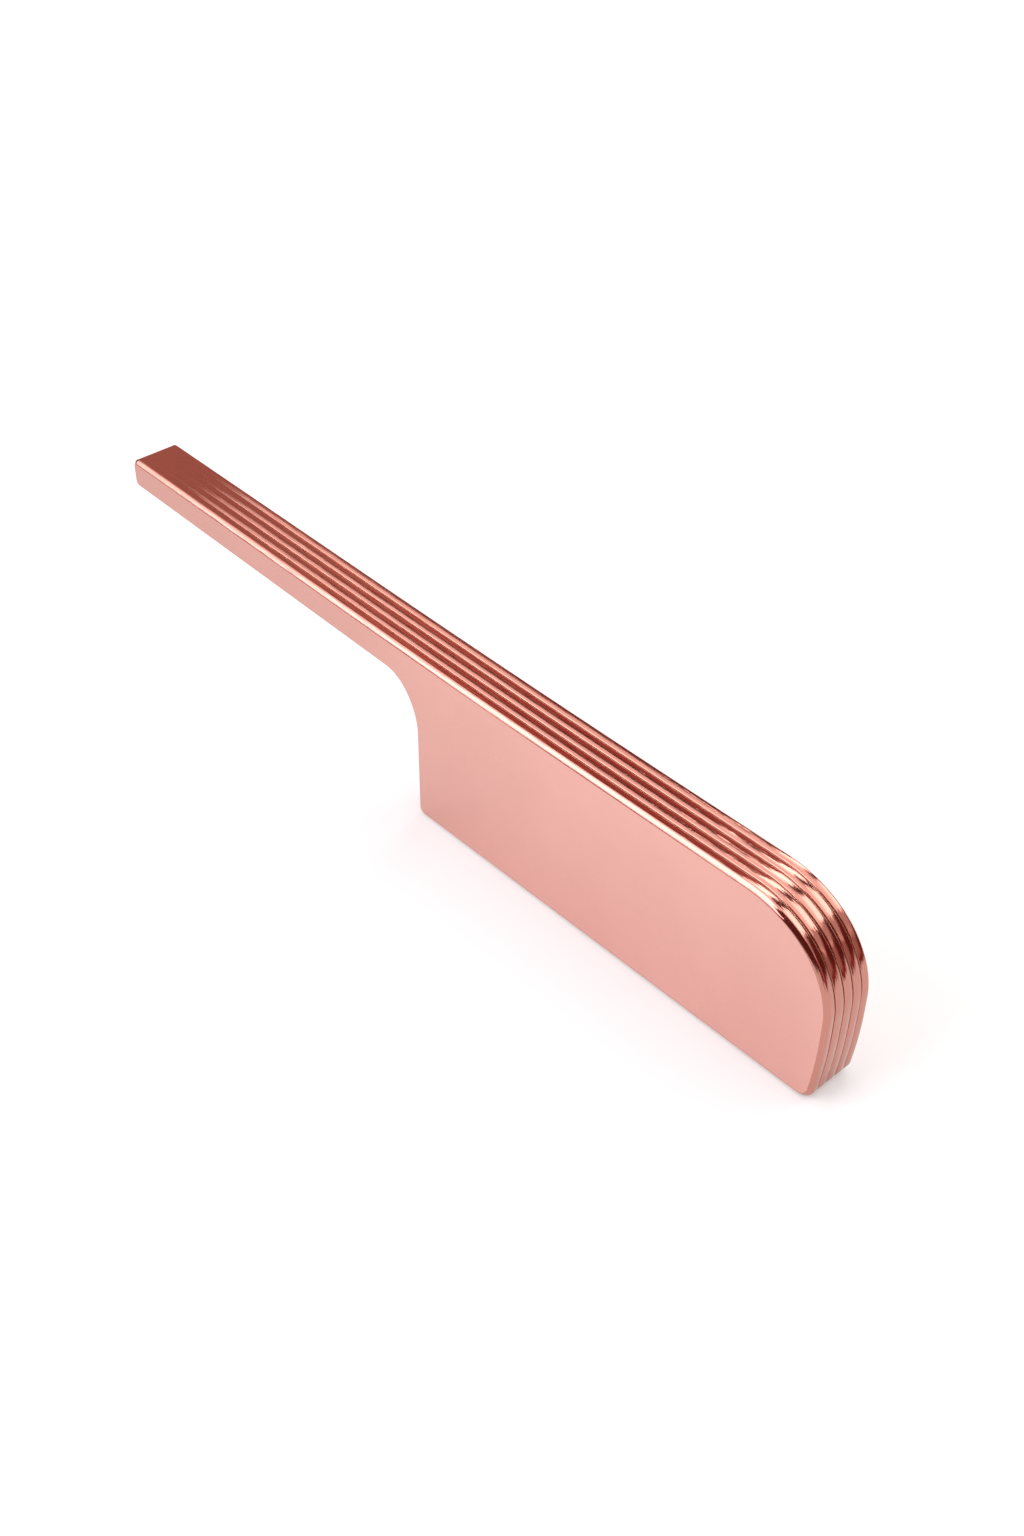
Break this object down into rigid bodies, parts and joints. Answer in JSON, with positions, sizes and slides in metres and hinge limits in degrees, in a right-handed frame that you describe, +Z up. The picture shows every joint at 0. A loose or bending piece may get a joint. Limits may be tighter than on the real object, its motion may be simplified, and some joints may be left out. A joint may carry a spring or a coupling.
{
  "type": "cuticle pusher",
  "caption": "Slim laminated metal cuticle pusher with a narrow bar handle, a deep blade and a rounded ribbed nose.",
  "frame": {"origin": "on the plane of the blade's bottom edge, under the middle of the tool's length and of its thickness", "axes": "+X along the tool towards the rounded nose, +Y through the stack of leaves towards the left-hand leaf, +Z up from the blade's bottom edge to its spine"},
  "size_m": [0.12, 0.0068, 0.0247],
  "materials": {
    "rose_gold": "polished rose gold plating over steel",
    "braze": "matt copper braze",
    "dowel_steel": "ground steel"
  },
  "bodies": {
    "root": {"right_outer_leaf": "rose_gold", "right_inner_leaf": "rose_gold", "centre_leaf": "rose_gold", "left_inner_leaf": "rose_gold", "left_outer_leaf": "rose_gold", "right_outer_foil": "braze", "right_inner_foil": "braze", "left_inner_foil": "braze", "left_outer_foil": "braze", "blade_front_dowel": "dowel_steel", "blade_rear_dowel": "dowel_steel", "handle_front_dowel": "dowel_steel", "handle_rear_dowel": "dowel_steel"}
  },
  "joints": []
}
